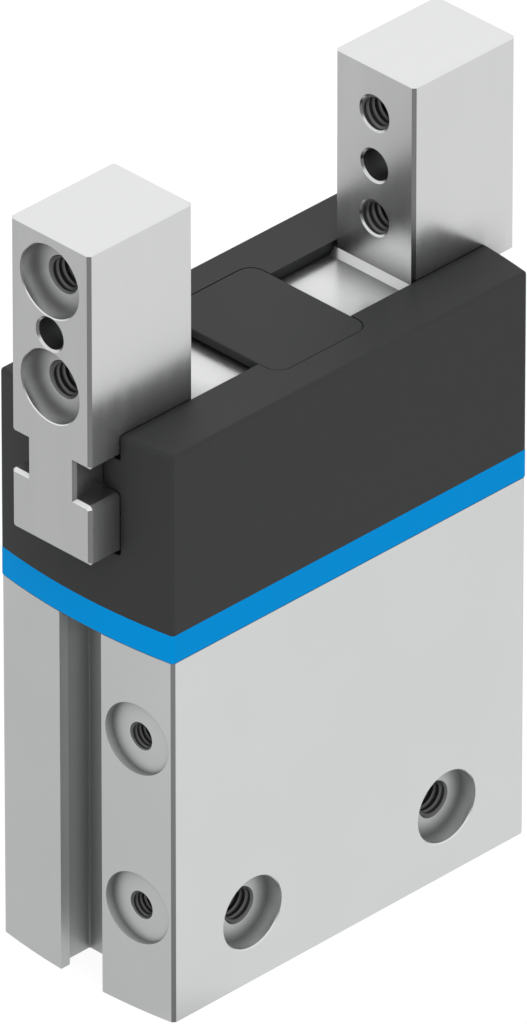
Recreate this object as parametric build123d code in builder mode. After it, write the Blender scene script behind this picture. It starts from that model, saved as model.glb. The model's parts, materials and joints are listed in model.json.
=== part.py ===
from build123d import *
import os
from math import asin, cos, sin, sqrt

# Parallel gripper: a double-acting cylinder moves a grooved rod head, and two bell cranks turn that
# into the travel of two jaws. Millimetres. The origin is the middle of the housing's bottom face,
# X is the jaws' travel, the front face looks towards -Y and Z points up to the jaws. Everything is
# drawn with the jaws open.

# Body outline, shared by housing, colour band and cap
BODY_LENGTH = 45.0  # along X, over the bowed ends
BODY_DEPTH = 21.0
END_RADIUS = 63.5  # bow of each end face
SHOULDER_HEIGHT = 36.7  # bare aluminium below the band
BAND_HEIGHT = 2.85
CAP_HEIGHT = 18.05
CAP_WALL = 1.3
CAP_ROOF = 2.1
EDGE_CHAMFER = 0.28
CAP_EDGE_FILLET = 0.35
SEAM_FILLET = 0.12

# Centring counterbores with a thread at their floor, as on the front, the back, the bottom and the jaws
CENTRING_DIAMETER = 7.0
CENTRING_DEPTH = 1.7
CENTRING_CHAMFER = 0.09
THREAD_CORE_DIAMETER = 3.3
THREAD_CHAMFER = 0.17
FACE_THREAD_SPACING = 24.0
FACE_THREAD_HEIGHT = 7.0
FACE_THREAD_DEPTH = 5.9
BASE_THREAD_SPACING = 27.0
BASE_THREAD_DEPTH = 4.9

# Air ports in the left end face
PORT_CORE_DIAMETER = 2.5
PORT_CHAMFER = 0.1
PORT_THREAD_DEPTH = 5.0
PORT_DRILL_DIAMETER = 1.6
PORT_SIDE_OFFSET = 6.5  # from the middle towards the front face
LOWER_PORT_HEIGHT = 10.35
PORT_SPACING = 17.3
PORT_SEAT_DIAMETER = 7.0
PORT_SEAT_DEPTH = 0.95  # below the crown of the bowed face

# Sensor slots in both end faces
SENSOR_MOUTH = 5.1
SENSOR_LIP = 1.1
SENSOR_WIDTH = 6.5
SENSOR_DEPTH = 4.25
SENSOR_FILLET = 0.15

# Jaws
JAW_TRAVEL = 5.0  # each jaw
JAW_REACH = 25.9  # middle to a jaw's outer face when open
JAW_WIDTH = 9.6
JAW_BLOCK_LENGTH = 12.5
JAW_BLOCK_HEIGHT = 21.55
JAW_NECK_WIDTH = 5.8
JAW_NECK_HEIGHT = 3.65
JAW_FOOT_HEIGHT = 6.0
JAW_RAIL_LENGTH = 8.2  # from the block's inner face towards the middle
JAW_RAIL_FLANGE = 0.95
JAW_BEVEL = 0.6
JAW_CHAMFER = 0.3
JAW_TOP_CHAMFER = 0.2
JAW_HOLE_SPACING = 10.5
JAW_HOLE_DROP = 4.6  # upper thread below the jaw's top
JAW_DOWEL_DIAMETER = 3.0
JAW_DOWEL_CHAMFER = 0.2
POCKET_CHAMFER = 0.3

# Bell cranks and their pins
PIVOT_SPACING = 22.0
PIVOT_DROP = 5.7  # pivots below the jaws' feet
LONG_ARM = 7.4  # pivot to the jaw
SHORT_ARM = 6.5  # pivot to the rod head
ARM_END_RADIUS = 1.6
ARM_END_WIDTH = 2.0
ARM_ROOT_WIDTH = 3.0
LEVER_BOSS_RADIUS = 3.1
LEVER_THICKNESS = 5.0
PIN_DIAMETER = 3.5
PIN_CHAMFER = 0.3

# Cylinder, rod and rod head
BORE_DIAMETER = 16.0
ROD_DIAMETER = 6.0
ROD_STUD_DIAMETER = 3.0
HEAD_DIAMETER = 11.4
HEAD_FLANGE = 1.3
HEAD_CHAMFER = 0.3
BUSH_DIAMETER = 8.0
BUSH_LENGTH = 3.0
SEAL_DIAMETER = 10.0
SEAL_HEIGHT = 2.2
SEAL_GROOVE_WIDTH = 0.6
SEAL_GROOVE_DEPTH = 1.1
PARTITION_WEB = 0.8  # between rod seal and bush
BUMPER_DIAMETER = 12.0
UPPER_BUMPER_HEIGHT = 1.6
LOWER_BUMPER_HEIGHT = 3.0
PISTON_HEIGHT = 10.2
PISTON_LAND = 1.1  # between grooves and at both ends
PISTON_CHAMFER = 0.3
PISTON_SEAL_HEIGHT = 2.2
PISTON_SEAL_DEPTH = 1.7
PISTON_SEAL_HOLLOW = 0.22  # radius of the hollow in each side
MAGNET_HEIGHT = 2.2
MAGNET_DEPTH = 2.2
GUIDE_RING_HEIGHT = 1.6
GUIDE_RING_DEPTH = 0.8
GUIDE_RING_SPLIT = 0.6
NUT_ACROSS_FLATS = 5.5
NUT_HEIGHT = 2.4
END_CAP_GROOVE_WIDTH = 2.0
END_CAP_GROOVE_DEPTH = 1.3
END_CAP_CHAMFER = 0.4
CLIP_DEPTH = 1.0  # retaining ring above the bottom face
CLIP_THICKNESS = 1.0
CLIP_GROOVE = 0.4  # groove beyond the bore
CLIP_BACK_WIDTH = 1.9
CLIP_LUG_RADIUS = 1.45
CLIP_LUG_HOLE = 1.5
CLIP_GAP = 2.4  # between the lugs

# Cover plate with the pegs that hold it and the cap to the housing
PLATE_OVERLAP = 0.4  # over the inner end of each rail
PLATE_DEPTH = 14.5
PLATE_THICKNESS = 0.8
PLATE_CORNER = 1.5
PLATE_FILLET = 0.12
PEG_DIAMETER = 1.6
PEG_INSET = 2.0  # from the plate's ends
PEG_SPACING = 12.2  # across the plate
PEG_ENGAGEMENT = 2.0  # in the housing

# Clearances
SLIDE_GAP = 0.05  # jaws in their guide
RUN_GAP = 0.03  # radial, pins, bush and seals
CRANK_GAP = 0.1  # round ends in pocket and groove
SIDE_GAP = 0.1  # bell cranks in their slot, each side
SEAT_GAP = 0.05  # cap, band and plate on their seats
JAW_CUTOUT_GAP = 0.1  # cap beside and above the jaws' feet
JAW_CUTOUT_DROP = 0.4  # cap below the jaws' feet and blocks
JAW_CUTOUT_FILLET = 0.4
STOP_GAP = 0.2  # piston to bumpers at the ends of its stroke
SWING_GAP = 0.4  # rod head and bell cranks to the chamber's walls

# Levels and places worked out from the sizes above
cap_bottom = SHOULDER_HEIGHT + BAND_HEIGHT
cap_top = cap_bottom + CAP_HEIGHT
housing_top = cap_top - CAP_ROOF
block_bottom = housing_top + SLIDE_GAP
block_top = block_bottom + JAW_BLOCK_HEIGHT
foot_top = block_bottom - JAW_NECK_HEIGHT
foot_bottom = foot_top - JAW_FOOT_HEIGHT
guide_floor = foot_bottom - SLIDE_GAP
guide_roof = foot_top + SLIDE_GAP
shell_inset = CAP_WALL + SEAT_GAP

block_inner = JAW_REACH - JAW_BLOCK_LENGTH
rail_end = block_inner - JAW_RAIL_LENGTH
upper_hole = block_top - JAW_HOLE_DROP
lower_hole = upper_hole - JAW_HOLE_SPACING
dowel_height = (upper_hole + lower_hole) / 2

pivot_x = PIVOT_SPACING / 2
pivot_z = foot_bottom - PIVOT_DROP
swing = asin(JAW_TRAVEL / 2 / LONG_ARM)  # each way from upright
jaw_end_x = pivot_x + LONG_ARM * sin(swing)
jaw_end_z = pivot_z + LONG_ARM * cos(swing)
head_end_x = pivot_x - SHORT_ARM * cos(swing)
half_stroke = SHORT_ARM * sin(swing)
lever_slot_width = LEVER_THICKNESS + 2 * SIDE_GAP
lever_slot_floor = pivot_z - half_stroke - ARM_END_RADIUS - SWING_GAP
lever_slot_round = lever_slot_width / 2 - sqrt((lever_slot_width**2 - LEVER_THICKNESS**2) / 4)
lever_slot_reach = jaw_end_x + ARM_END_RADIUS + lever_slot_round

crank_groove = 2 * (ARM_END_RADIUS + CRANK_GAP)
head_middle = pivot_z + half_stroke
head_bottom = head_middle - crank_groove / 2 - HEAD_FLANGE
head_height = crank_groove + 2 * HEAD_FLANGE
head_core_radius = pivot_x - SHORT_ARM - ARM_END_RADIUS - CRANK_GAP
chamber_floor = head_bottom - 2 * half_stroke - SWING_GAP
chamber_radius = HEAD_DIAMETER / 2 + SWING_GAP

bush_bottom = chamber_floor - BUSH_LENGTH
bore_top = bush_bottom - PARTITION_WEB - SEAL_HEIGHT
bore_radius = BORE_DIAMETER / 2
piston_top = bore_top - UPPER_BUMPER_HEIGHT - STOP_GAP
piston_bottom = piston_top - PISTON_HEIGHT
end_cap_top = piston_bottom - 2 * half_stroke - STOP_GAP - LOWER_BUMPER_HEIGHT
end_cap_bottom = CLIP_DEPTH + CLIP_THICKNESS
end_cap_groove_bottom = (end_cap_bottom + end_cap_top - END_CAP_GROOVE_WIDTH) / 2

plate_bottom = cap_top - PLATE_THICKNESS
plate_length = 2 * (rail_end + PLATE_OVERLAP)
peg_bottom = housing_top - PEG_ENGAGEMENT
peg_spacing_x = plate_length - 2 * PEG_INSET
BOTTOM_CENTER = (Align.CENTER, Align.MIN)

front_face = Plane((0, -BODY_DEPTH / 2, 0), x_dir=(1, 0, 0), z_dir=(0, -1, 0))
back_face = Plane((0, BODY_DEPTH / 2, 0), x_dir=(-1, 0, 0), z_dir=(0, 1, 0))
bottom_face = Plane((0, 0, 0), x_dir=(1, 0, 0), z_dir=(0, 0, -1))
port_face = Plane((-BODY_LENGTH / 2 + PORT_SEAT_DEPTH, 0, 0), x_dir=(0, -1, 0), z_dir=(-1, 0, 0))
jaw_outer_face = Plane((-JAW_REACH, 0, 0), x_dir=(0, -1, 0), z_dir=(-1, 0, 0))
jaw_inner_face = Plane((-block_inner, 0, 0), x_dir=(0, 1, 0), z_dir=(1, 0, 0))


def body_outline(inset=0.0):
    """Plan of the body, flat at front and back and bowed at both ends, smaller by inset all round."""
    half_depth = BODY_DEPTH / 2 - inset
    bow_radius = END_RADIUS - inset
    crown = BODY_LENGTH / 2 - inset
    corner = crown - bow_radius + sqrt(bow_radius**2 - half_depth**2)
    with BuildSketch() as plan:
        with BuildLine():
            Line((-corner, -half_depth), (corner, -half_depth))
            ThreePointArc((corner, -half_depth), (crown, 0), (corner, half_depth))
            Line((corner, half_depth), (-corner, half_depth))
            ThreePointArc((-corner, half_depth), (-crown, 0), (-corner, -half_depth))
        make_face()
    return plan.sketch


def ring_section(inner_radius, outer_radius, bottom, height):
    """Half section of a plain ring about Z, for revolving."""
    with BuildSketch() as section:
        with Locations(((inner_radius + outer_radius) / 2, bottom)):
            Rectangle(outer_radius - inner_radius, height, align=BOTTOM_CENTER)
    return section.sketch


def chamfered_hole(diameter, depth, mouth_chamfer):
    """Cut a flat-bottomed hole with a chamfered mouth at the active locations."""
    Hole(diameter / 2, depth)
    Cone(
        bottom_radius=diameter / 2,
        top_radius=diameter / 2 + mouth_chamfer,
        height=mouth_chamfer,
        align=(Align.CENTER, Align.CENTER, Align.MAX),
        mode=Mode.SUBTRACT,
    )


def centred_thread(thread_depth):
    """Cut a centring counterbore and the thread core at its floor, at the active locations."""
    chamfered_hole(CENTRING_DIAMETER, CENTRING_DEPTH, CENTRING_CHAMFER)
    with Locations((0, 0, -CENTRING_DEPTH)):
        chamfered_hole(THREAD_CORE_DIAMETER, thread_depth, THREAD_CHAMFER)


def jaw_section(flange):
    """End view of a jaw's foot and neck with a flange of the given height on top, in Y and Z."""
    with BuildSketch() as section:
        with Locations((0, block_bottom)):
            Rectangle(JAW_WIDTH, flange, align=BOTTOM_CENTER)
        chamfer(section.vertices().group_by(Axis.Y)[0], length=JAW_CHAMFER)
        with BuildSketch(mode=Mode.ADD) as foot:
            with Locations((0, foot_bottom)):
                Rectangle(JAW_WIDTH, JAW_FOOT_HEIGHT, align=BOTTOM_CENTER)
            chamfer(foot.vertices(), length=JAW_CHAMFER)
        with Locations((0, foot_top)):
            Rectangle(JAW_NECK_WIDTH, JAW_NECK_HEIGHT, align=BOTTOM_CENTER)
    return section.sketch


def lever_outline():
    """Side view of the left bell crank in X and Z, with the jaws open."""
    pivot = Vector(-pivot_x, pivot_z)
    ends = (Vector(-jaw_end_x, jaw_end_z), Vector(-head_end_x, head_middle))
    with BuildSketch() as outline:
        with Locations(pivot):
            Circle(LEVER_BOSS_RADIUS)
        for end in ends:
            along = (end - pivot).normalized()
            across = Vector(-along.Y, along.X)
            root = across * (ARM_ROOT_WIDTH / 2)
            tip = across * (ARM_END_WIDTH / 2)
            with BuildLine():
                Polyline(pivot + root, end + tip, end - tip, pivot - root, close=True)
            make_face()
            with Locations(end):
                Circle(ARM_END_RADIUS)
        with Locations(pivot):
            Circle(PIN_DIAMETER / 2 + RUN_GAP, mode=Mode.SUBTRACT)
    return outline.sketch


os.makedirs("parts", exist_ok=True)

# Housing: one aluminium block that is cylinder, lever chamber and jaw guide
with BuildPart() as housing:
    with BuildSketch():
        add(body_outline())
    extrude(amount=SHOULDER_HEIGHT)
    chamfer(housing.edges().filter_by(Axis.Z), length=EDGE_CHAMFER)
    with BuildSketch(Plane.XY.offset(SHOULDER_HEIGHT)):
        add(body_outline(shell_inset))
    extrude(amount=housing_top - SHOULDER_HEIGHT)
    # Cylinder bore with the retaining ring's groove
    with BuildSketch():
        Circle(bore_radius)
    extrude(amount=bore_top, mode=Mode.SUBTRACT)
    with BuildSketch(Plane.XY.offset(CLIP_DEPTH)):
        Circle(bore_radius + CLIP_GROOVE)
    extrude(amount=CLIP_THICKNESS, mode=Mode.SUBTRACT)
    # Seats of the rod seal and the rod bush, and the way through between them
    with BuildSketch(Plane.XY.offset(bore_top)):
        Circle(SEAL_DIAMETER / 2)
    extrude(amount=SEAL_HEIGHT, mode=Mode.SUBTRACT)
    with BuildSketch(Plane.XY.offset(bore_top)):
        Circle(ROD_DIAMETER / 2 + CRANK_GAP)
    extrude(amount=chamber_floor - bore_top, mode=Mode.SUBTRACT)
    with BuildSketch(Plane.XY.offset(bush_bottom)):
        Circle(BUSH_DIAMETER / 2)
    extrude(amount=BUSH_LENGTH, mode=Mode.SUBTRACT)
    # Lever chamber: a well for the rod head and a slot for the bell cranks
    with BuildSketch(Plane.XY.offset(chamber_floor)):
        Circle(chamber_radius)
    extrude(amount=guide_floor - chamber_floor, mode=Mode.SUBTRACT)
    with BuildSketch(Plane.XY.offset(lever_slot_floor)):
        SlotOverall(2 * lever_slot_reach, lever_slot_width)
    extrude(amount=guide_floor - lever_slot_floor, mode=Mode.SUBTRACT)
    # Guide for the jaws, a T slot from end to end
    with BuildSketch(Plane.YZ):
        with Locations((0, guide_floor)):
            Rectangle(JAW_WIDTH + 2 * SLIDE_GAP, guide_roof - guide_floor, align=BOTTOM_CENTER)
        with Locations((0, guide_roof)):
            Rectangle(JAW_NECK_WIDTH + 2 * SLIDE_GAP, housing_top - guide_roof, align=BOTTOM_CENTER)
    extrude(amount=BODY_LENGTH / 2, both=True, mode=Mode.SUBTRACT)
    # Holes for the bell cranks' pins
    with BuildSketch(Plane.XZ):
        with Locations((-pivot_x, pivot_z), (pivot_x, pivot_z)):
            Circle(PIN_DIAMETER / 2)
    extrude(amount=BODY_DEPTH / 2, both=True, mode=Mode.SUBTRACT)
    # Sensor slots
    with BuildSketch() as sensor_slots:
        for side in (-1, 1):
            with Locations((side * (BODY_LENGTH / 2 - (SENSOR_DEPTH + SENSOR_LIP) / 2), 0)):
                Rectangle(SENSOR_DEPTH - SENSOR_LIP, SENSOR_WIDTH)
        fillet(sensor_slots.vertices(), SENSOR_FILLET)
        for side in (-1, 1):
            with Locations((side * (BODY_LENGTH / 2 - SENSOR_DEPTH / 2), 0)):
                Rectangle(SENSOR_DEPTH, SENSOR_MOUTH)
    extrude(amount=SHOULDER_HEIGHT, mode=Mode.SUBTRACT)
    # Mounting threads with centring counterbores in front, back and bottom
    for face in (front_face, back_face):
        with Locations(face):
            with Locations((0, FACE_THREAD_HEIGHT)):
                with GridLocations(FACE_THREAD_SPACING, 0, 2, 1):
                    centred_thread(FACE_THREAD_DEPTH)
    with Locations(bottom_face):
        with GridLocations(BASE_THREAD_SPACING, 0, 2, 1):
            centred_thread(BASE_THREAD_DEPTH)
    # Air ports: flat seat, thread core and the drilling into the cylinder
    port_places = [
        (PORT_SIDE_OFFSET, LOWER_PORT_HEIGHT),
        (PORT_SIDE_OFFSET, LOWER_PORT_HEIGHT + PORT_SPACING),
    ]
    with BuildSketch(port_face):
        with Locations(*port_places):
            Circle(PORT_SEAT_DIAMETER / 2)
    extrude(amount=PORT_SEAT_DEPTH, mode=Mode.SUBTRACT)
    with Locations(port_face):
        with Locations(*port_places):
            chamfered_hole(PORT_CORE_DIAMETER, PORT_THREAD_DEPTH, PORT_CHAMFER)
            Hole(PORT_DRILL_DIAMETER / 2, BODY_LENGTH / 2 - PORT_SEAT_DEPTH)
    # Peg holes for the cover plate
    with BuildSketch(Plane.XY.offset(peg_bottom)):
        with GridLocations(peg_spacing_x, PEG_SPACING, 2, 2):
            Circle(PEG_DIAMETER / 2)
    extrude(amount=PEG_ENGAGEMENT, mode=Mode.SUBTRACT)
housing.part.label = "housing"
export_step(housing.part, "parts/housing.step")

# Colour band, held between the housing's shoulder and the cap
with BuildPart() as colour_band:
    with BuildSketch(Plane.XY.offset(SHOULDER_HEIGHT)):
        add(body_outline())
    extrude(amount=BAND_HEIGHT)
    fillet(colour_band.edges().filter_by(Axis.Z), EDGE_CHAMFER)
    fillet(colour_band.faces().filter_by(Axis.Z).edges(), SEAM_FILLET)
    with BuildSketch(Plane.XY.offset(SHOULDER_HEIGHT)):
        add(body_outline(CAP_WALL))
    extrude(amount=BAND_HEIGHT, mode=Mode.SUBTRACT)
colour_band.part.label = "colour_band"
export_step(colour_band.part, "parts/colour_band.step")

# Cap over the guide, open along its top and with a T cut-out for the jaws in each end
with BuildPart() as cover_cap:
    with BuildSketch(Plane.XY.offset(cap_bottom)):
        add(body_outline())
    extrude(amount=CAP_HEIGHT)
    fillet(cover_cap.edges().filter_by(Axis.Z), CAP_EDGE_FILLET)
    fillet(cover_cap.faces().sort_by(Axis.Z)[-1].edges(), CAP_EDGE_FILLET)
    with BuildSketch(Plane.XY.offset(cap_bottom)):
        add(body_outline(CAP_WALL))
    extrude(amount=housing_top - cap_bottom, mode=Mode.SUBTRACT)
    with BuildSketch(Plane.YZ) as jaw_cutout:
        cutout_width = JAW_WIDTH + 2 * JAW_CUTOUT_GAP
        with Locations((0, foot_bottom - JAW_CUTOUT_DROP)):
            foot_opening = JAW_FOOT_HEIGHT + JAW_CUTOUT_DROP + JAW_CUTOUT_GAP
            Rectangle(cutout_width, foot_opening, align=BOTTOM_CENTER)
        fillet(jaw_cutout.vertices(), JAW_CUTOUT_FILLET)
        with Locations((0, foot_top)):
            Rectangle(JAW_NECK_WIDTH + 2 * JAW_CUTOUT_GAP, JAW_NECK_HEIGHT, align=BOTTOM_CENTER)
        with Locations((0, block_bottom - JAW_CUTOUT_DROP)):
            Rectangle(cutout_width, CAP_ROOF + 2 * JAW_CUTOUT_DROP, align=BOTTOM_CENTER)
    extrude(amount=BODY_LENGTH / 2, both=True, mode=Mode.SUBTRACT)
    with BuildSketch(Plane.XY.offset(plate_bottom)):
        RectangleRounded(plate_length + 2 * SEAT_GAP, PLATE_DEPTH + 2 * SEAT_GAP, PLATE_CORNER + SEAT_GAP)
    extrude(amount=PLATE_THICKNESS, mode=Mode.SUBTRACT)
    with BuildSketch(Plane.XY.offset(housing_top)):
        with GridLocations(peg_spacing_x, PEG_SPACING, 2, 2):
            Circle(PEG_DIAMETER / 2)
    extrude(amount=CAP_ROOF, mode=Mode.SUBTRACT)
cover_cap.part.label = "cover_cap"
export_step(cover_cap.part, "parts/cover_cap.step")

# Cover plate over the inner ends of the rails, with four press-in pegs
with BuildPart() as cover_plate:
    with BuildSketch(Plane.XY.offset(plate_bottom)):
        RectangleRounded(plate_length, PLATE_DEPTH, PLATE_CORNER)
    extrude(amount=PLATE_THICKNESS)
    fillet(cover_plate.faces().sort_by(Axis.Z)[-1].edges(), PLATE_FILLET)
    with BuildSketch(Plane.XY.offset(peg_bottom)):
        with GridLocations(peg_spacing_x, PEG_SPACING, 2, 2):
            Circle(PEG_DIAMETER / 2)
    extrude(amount=plate_bottom - peg_bottom)
cover_plate.part.label = "cover_plate"
export_step(cover_plate.part, "parts/cover_plate.step")

# Left jaw: T foot, neck and rail in one section, with the gripping block on its outer end
with BuildPart() as jaw_left:
    with BuildSketch(Plane.YZ.offset(JAW_CHAMFER - JAW_REACH)):
        add(jaw_section(JAW_RAIL_FLANGE))
    extrude(amount=JAW_REACH - JAW_CHAMFER - rail_end)
    with BuildSketch(Plane.YZ.offset(JAW_CHAMFER - JAW_REACH)):
        add(jaw_section(JAW_RAIL_FLANGE + JAW_CHAMFER))
    extrude(amount=-JAW_CHAMFER, taper=45)
    with BuildSketch(Plane.XY.offset(block_bottom + JAW_RAIL_FLANGE)) as block_plan:
        with Locations(((-JAW_REACH - block_inner) / 2, 0)):
            Rectangle(JAW_BLOCK_LENGTH, JAW_WIDTH)
        chamfer(block_plan.vertices(), length=JAW_CHAMFER)
    extrude(amount=JAW_BLOCK_HEIGHT - JAW_RAIL_FLANGE)
    # Bevel at the foot of the block's inner face
    with BuildSketch(Plane.XZ):
        with BuildLine():
            rail_top = block_bottom + JAW_RAIL_FLANGE
            root = -block_inner - JAW_CHAMFER
            Line((root, rail_top), (-block_inner + JAW_BEVEL, rail_top))
            Line((-block_inner + JAW_BEVEL, rail_top), (-block_inner, rail_top + JAW_BEVEL))
            Line((-block_inner, rail_top + JAW_BEVEL), (root, rail_top + JAW_BEVEL))
            Line((root, rail_top + JAW_BEVEL), (root, rail_top))
        make_face()
    extrude(amount=JAW_WIDTH / 2, both=True)
    chamfer(jaw_left.faces().sort_by(Axis.Z)[-1].edges(), length=JAW_TOP_CHAMFER)
    # Pocket for the bell crank's round end
    pocket_roof = pivot_z + LONG_ARM + ARM_END_RADIUS + SWING_GAP
    with BuildSketch(Plane.XY.offset(foot_bottom)):
        with Locations((-jaw_end_x, 0)):
            Rectangle(crank_groove, lever_slot_width)
    extrude(amount=pocket_roof - foot_bottom, mode=Mode.SUBTRACT)
    pocket_mouth = jaw_left.faces().sort_by(Axis.Z)[0].inner_wires()[0].edges()
    chamfer(pocket_mouth.filter_by(Axis.Y), length=POCKET_CHAMFER)
    # Threads with centring counterbores in the outer face, and the dowel hole between them
    thread_length = JAW_BLOCK_LENGTH - CENTRING_DEPTH
    with Locations(jaw_outer_face):
        with Locations((0, upper_hole), (0, lower_hole)):
            centred_thread(thread_length)
        with Locations((0, dowel_height)):
            chamfered_hole(JAW_DOWEL_DIAMETER, JAW_BLOCK_LENGTH, JAW_DOWEL_CHAMFER)
    with Locations(jaw_inner_face):
        with Locations((0, upper_hole), (0, lower_hole)):
            chamfered_hole(THREAD_CORE_DIAMETER, thread_length, THREAD_CHAMFER)
        with Locations((0, dowel_height)):
            chamfered_hole(JAW_DOWEL_DIAMETER, JAW_BLOCK_LENGTH, JAW_DOWEL_CHAMFER)
jaw_left.part.label = "jaw_left"
export_step(jaw_left.part, "parts/jaw_left.step")

with BuildPart() as jaw_right:
    mirror(jaw_left.part, about=Plane.YZ)
jaw_right.part.label = "jaw_right"
export_step(jaw_right.part, "parts/jaw_right.step")

# Bell cranks
with BuildPart() as lever_left:
    with BuildSketch(Plane.XZ):
        add(lever_outline())
    extrude(amount=LEVER_THICKNESS / 2, both=True)
lever_left.part.label = "lever_left"
export_step(lever_left.part, "parts/lever_left.step")

with BuildPart() as lever_right:
    mirror(lever_left.part, about=Plane.YZ)
lever_right.part.label = "lever_right"
export_step(lever_right.part, "parts/lever_right.step")

# The two pins of the bell cranks, pressed into the housing
with BuildPart() as lever_pins:
    pin_length = BODY_DEPTH - 2 * shell_inset - 2 * PIN_CHAMFER
    with BuildSketch(Plane.XZ):
        with Locations((-pivot_x, pivot_z), (pivot_x, pivot_z)):
            Circle(PIN_DIAMETER / 2)
    extrude(amount=pin_length / 2, both=True)
    chamfer(lever_pins.edges().filter_by(GeomType.CIRCLE), length=PIN_CHAMFER)
lever_pins.part.label = "lever_pins"
export_step(lever_pins.part, "parts/lever_pins.step")

# Rod head: a spool whose groove takes the short arms of both bell cranks
with BuildPart() as rod_head:
    with BuildSketch(Plane.XZ) as head_section:
        add(ring_section(0, HEAD_DIAMETER / 2, head_bottom, head_height))
        chamfer(head_section.vertices().group_by(Axis.X)[-1], length=HEAD_CHAMFER)
        add(
            ring_section(head_core_radius, HEAD_DIAMETER / 2, head_bottom + HEAD_FLANGE, crank_groove),
            mode=Mode.SUBTRACT,
        )
        add(ring_section(0, ROD_STUD_DIAMETER / 2, head_bottom, head_height), mode=Mode.SUBTRACT)
    revolve(axis=Axis.Z)
rod_head.part.label = "rod_head"
export_step(rod_head.part, "parts/rod_head.step")

# Piston rod with a threaded stud at each end
with BuildPart() as piston_rod:
    with BuildSketch(Plane.XZ):
        add(ring_section(0, ROD_DIAMETER / 2, piston_top, head_bottom - piston_top))
        stud_bottom = piston_bottom - NUT_HEIGHT
        add(ring_section(0, ROD_STUD_DIAMETER / 2, stud_bottom, head_bottom + head_height - stud_bottom))
    revolve(axis=Axis.Z)
piston_rod.part.label = "piston_rod"
export_step(piston_rod.part, "parts/piston_rod.step")

# Piston with grooves for its seal, magnet and guide ring
seal_bottom = piston_bottom + PISTON_LAND
magnet_bottom = seal_bottom + PISTON_SEAL_HEIGHT + PISTON_LAND
guide_ring_bottom = magnet_bottom + MAGNET_HEIGHT + PISTON_LAND
piston_radius = bore_radius - CRANK_GAP
ring_radius = bore_radius - RUN_GAP
with BuildPart() as piston:
    with BuildSketch(Plane.XZ) as piston_section:
        add(ring_section(0, piston_radius, piston_bottom, PISTON_HEIGHT))
        chamfer(piston_section.vertices().group_by(Axis.X)[-1], length=PISTON_CHAMFER)
        add(ring_section(0, ROD_STUD_DIAMETER / 2, piston_bottom, PISTON_HEIGHT), mode=Mode.SUBTRACT)
        for depth, bottom, height in (
            (PISTON_SEAL_DEPTH, seal_bottom, PISTON_SEAL_HEIGHT),
            (MAGNET_DEPTH, magnet_bottom, MAGNET_HEIGHT),
            (GUIDE_RING_DEPTH, guide_ring_bottom, GUIDE_RING_HEIGHT),
        ):
            add(ring_section(piston_radius - depth, piston_radius, bottom, height), mode=Mode.SUBTRACT)
    revolve(axis=Axis.Z)
piston.part.label = "piston"
export_step(piston.part, "parts/piston.step")

# Piston seal, a ring with a hollow on each of its four sides
with BuildPart() as piston_seal:
    seal_inner = piston_radius - PISTON_SEAL_DEPTH
    with BuildSketch(Plane.XZ):
        add(ring_section(seal_inner, ring_radius, seal_bottom, PISTON_SEAL_HEIGHT))
        seal_middle = ((seal_inner + ring_radius) / 2, seal_bottom + PISTON_SEAL_HEIGHT / 2)
        with Locations(seal_middle):
            with Locations(
                (0, PISTON_SEAL_HEIGHT / 2),
                (0, -PISTON_SEAL_HEIGHT / 2),
                ((ring_radius - seal_inner) / 2, 0),
                ((seal_inner - ring_radius) / 2, 0),
            ):
                Circle(PISTON_SEAL_HOLLOW, mode=Mode.SUBTRACT)
    revolve(axis=Axis.Z)
piston_seal.part.label = "piston_seal"
export_step(piston_seal.part, "parts/piston_seal.step")

# Ring magnet for the sensors
with BuildPart() as piston_magnet:
    with BuildSketch(Plane.XZ):
        add(ring_section(piston_radius - MAGNET_DEPTH, piston_radius, magnet_bottom, MAGNET_HEIGHT))
    revolve(axis=Axis.Z)
piston_magnet.part.label = "piston_magnet"
export_step(piston_magnet.part, "parts/piston_magnet.step")

# Split guide ring
with BuildPart() as piston_guide_ring:
    with BuildSketch(Plane.XZ):
        guide_inner = piston_radius - GUIDE_RING_DEPTH
        add(ring_section(guide_inner, ring_radius, guide_ring_bottom, GUIDE_RING_HEIGHT))
    revolve(axis=Axis.Z)
    with BuildSketch(Plane.XY.offset(guide_ring_bottom)):
        with Locations((ring_radius - GUIDE_RING_DEPTH / 2, 0)):
            Rectangle(2 * GUIDE_RING_DEPTH, GUIDE_RING_SPLIT)
    extrude(amount=GUIDE_RING_HEIGHT, mode=Mode.SUBTRACT)
piston_guide_ring.part.label = "piston_guide_ring"
export_step(piston_guide_ring.part, "parts/piston_guide_ring.step")

# Nut under the piston
with BuildPart() as piston_nut:
    with BuildSketch(Plane.XY.offset(piston_bottom - NUT_HEIGHT)):
        RegularPolygon(NUT_ACROSS_FLATS / 2, 6, major_radius=False)
        Circle(ROD_STUD_DIAMETER / 2, mode=Mode.SUBTRACT)
    extrude(amount=NUT_HEIGHT)
piston_nut.part.label = "piston_nut"
export_step(piston_nut.part, "parts/piston_nut.step")

# Bush and seal that the rod runs through
with BuildPart() as rod_bush:
    with BuildSketch(Plane.XZ):
        add(ring_section(ROD_DIAMETER / 2 + RUN_GAP, BUSH_DIAMETER / 2, bush_bottom, BUSH_LENGTH))
    revolve(axis=Axis.Z)
rod_bush.part.label = "rod_bush"
export_step(rod_bush.part, "parts/rod_bush.step")

with BuildPart() as rod_seal:
    seal_bore = ROD_DIAMETER / 2 + RUN_GAP
    with BuildSketch(Plane.XZ):
        add(ring_section(seal_bore, SEAL_DIAMETER / 2, bore_top, SEAL_HEIGHT))
        with Locations(((seal_bore + SEAL_DIAMETER / 2) / 2, bore_top)):
            SlotOverall(2 * SEAL_GROOVE_DEPTH, SEAL_GROOVE_WIDTH, rotation=90, mode=Mode.SUBTRACT)
    revolve(axis=Axis.Z)
rod_seal.part.label = "rod_seal"
export_step(rod_seal.part, "parts/rod_seal.step")

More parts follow.
